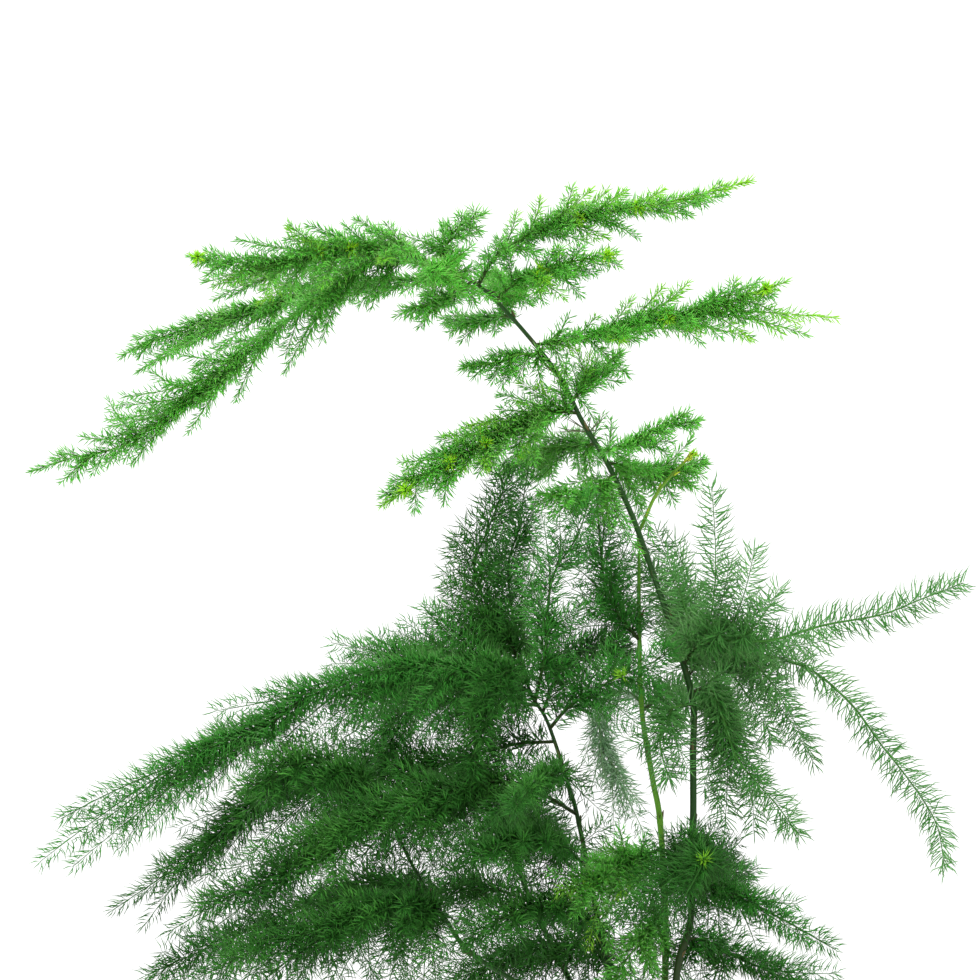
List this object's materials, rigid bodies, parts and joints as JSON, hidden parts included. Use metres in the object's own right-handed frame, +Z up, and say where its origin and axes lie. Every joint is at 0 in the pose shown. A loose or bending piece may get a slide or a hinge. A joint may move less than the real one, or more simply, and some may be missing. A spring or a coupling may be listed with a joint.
{
  "type": "potted foliage plant",
  "caption": "Feathery asparagus fern with wiry arching stems, fine needle foliage and a young shoot, standing in a round clay pot.",
  "frame": {"origin": "middle of the pot's foot, on the surface that it stands on", "axes": "+Z up; +X to the right and +Y away from the viewer as the plant is pictured"},
  "size_m": [0.352, 0.2012, 0.423],
  "materials": {
    "terracotta": "matte",
    "potting_soil": "matte",
    "woody_stem": "satin",
    "young_stem": "satin",
    "foliage_fresh": "matte",
    "foliage_dark": "matte",
    "foliage_thin": "matte",
    "foliage_pale": "matte",
    "foliage_lobe": "matte"
  },
  "bodies": {
    "root": {"pot": "terracotta", "soil": "potting_soil", "stem_arching": "woody_stem", "stem_upright": "woody_stem", "stem_forked": "woody_stem", "stem_leaning": "woody_stem", "stem_back": "woody_stem", "young_shoot": "young_stem", "frond_leader": "foliage_fresh", "frond_upper_left": "foliage_fresh", "frond_left_mid": "foliage_fresh", "frond_crest": "foliage_fresh", "frond_top_right": "foliage_fresh", "frond_right_short": "foliage_fresh", "frond_under_left": "foliage_fresh", "frond_under_low": "foliage_fresh", "frond_right_mid": "foliage_fresh", "frond_left_short": "foliage_fresh", "frond_mid_left": "foliage_fresh", "frond_mid_up": "foliage_fresh", "frond_low_right": "foliage_fresh", "frond_low_right_back": "foliage_fresh", "frond_low_left": "foliage_fresh", "frond_low_left_front": "foliage_fresh", "frond_crown_back": "foliage_fresh", "frond_crown_front": "foliage_fresh", "frond_centre_left": "foliage_dark", "frond_centre_upright": "foliage_dark", "frond_centre_curved": "foliage_dark", "frond_centre_right": "foliage_dark", "frond_fork_right": "foliage_dark", "frond_fork_band": "foliage_dark", "frond_centre_drop": "foliage_dark", "frond_left_long": "foliage_dark", "frond_left_inner": "foliage_dark", "frond_left_lobe": "foliage_dark", "frond_left_second": "foliage_dark", "frond_low_front": "foliage_dark", "frond_low_third": "foliage_dark", "frond_leaning_tip": "foliage_dark", "frond_centre_front": "foliage_dark", "frond_bottom_front": "foliage_dark", "frond_bottom_mid": "foliage_dark", "frond_lobe": "foliage_lobe", "frond_lobe_low": "foliage_lobe", "frond_cluster": "foliage_dark", "frond_cluster_right": "foliage_dark", "frond_cluster_low": "foliage_dark", "frond_cluster_back": "foliage_dark", "frond_right_long": "foliage_thin", "frond_right_droop": "foliage_thin", "frond_right_down": "foliage_thin", "frond_inner_down": "foliage_thin", "frond_pale": "foliage_pale", "frond_back_right": "foliage_thin", "frond_back_left": "foliage_dark", "frond_back_low": "foliage_dark", "frond_back_centre": "foliage_dark", "frond_front_mid": "foliage_dark"}
  },
  "joints": []
}
